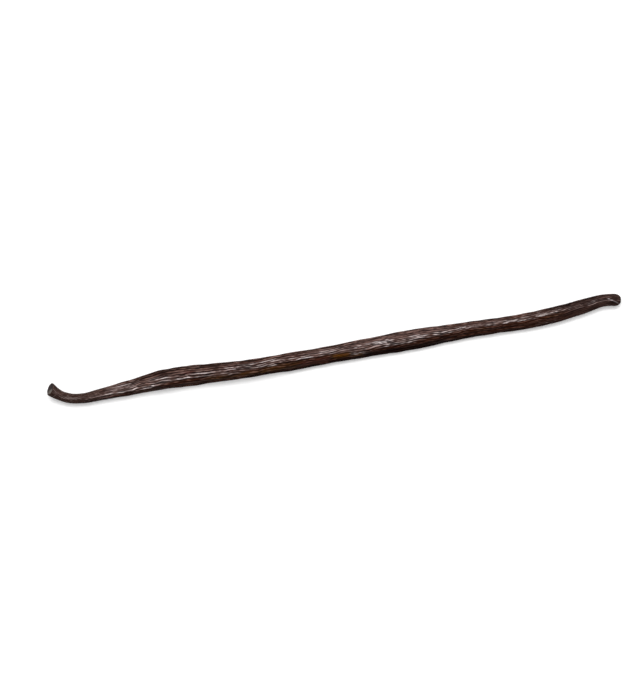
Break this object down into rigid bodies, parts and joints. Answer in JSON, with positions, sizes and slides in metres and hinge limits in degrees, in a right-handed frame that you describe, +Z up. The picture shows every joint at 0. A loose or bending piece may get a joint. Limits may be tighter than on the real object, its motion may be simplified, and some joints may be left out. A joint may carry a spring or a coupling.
{
  "type": "vanilla pod",
  "caption": "Cured vanilla pod lying on its side: a long, furrowed, ridged pod, gently bent, with a flared cut stem and a blunt blossom end.",
  "frame": {"origin": "centre of the pod's bounding box at its lowest level, where the flat spot of the underside rests", "axes": "+X runs along the pod from the cut stem to the blossom end, +Y is the side that the stem curls to, and +Z is up when the pod lies at rest"},
  "size_m": [0.1802, 0.0088, 0.0053],
  "materials": {
    "pod_skin": "dark brown dried skin, matte with a slight oily shine on the wrinkles"
  },
  "bodies": {
    "root": {"vanilla_pod": "pod_skin"}
  },
  "joints": []
}
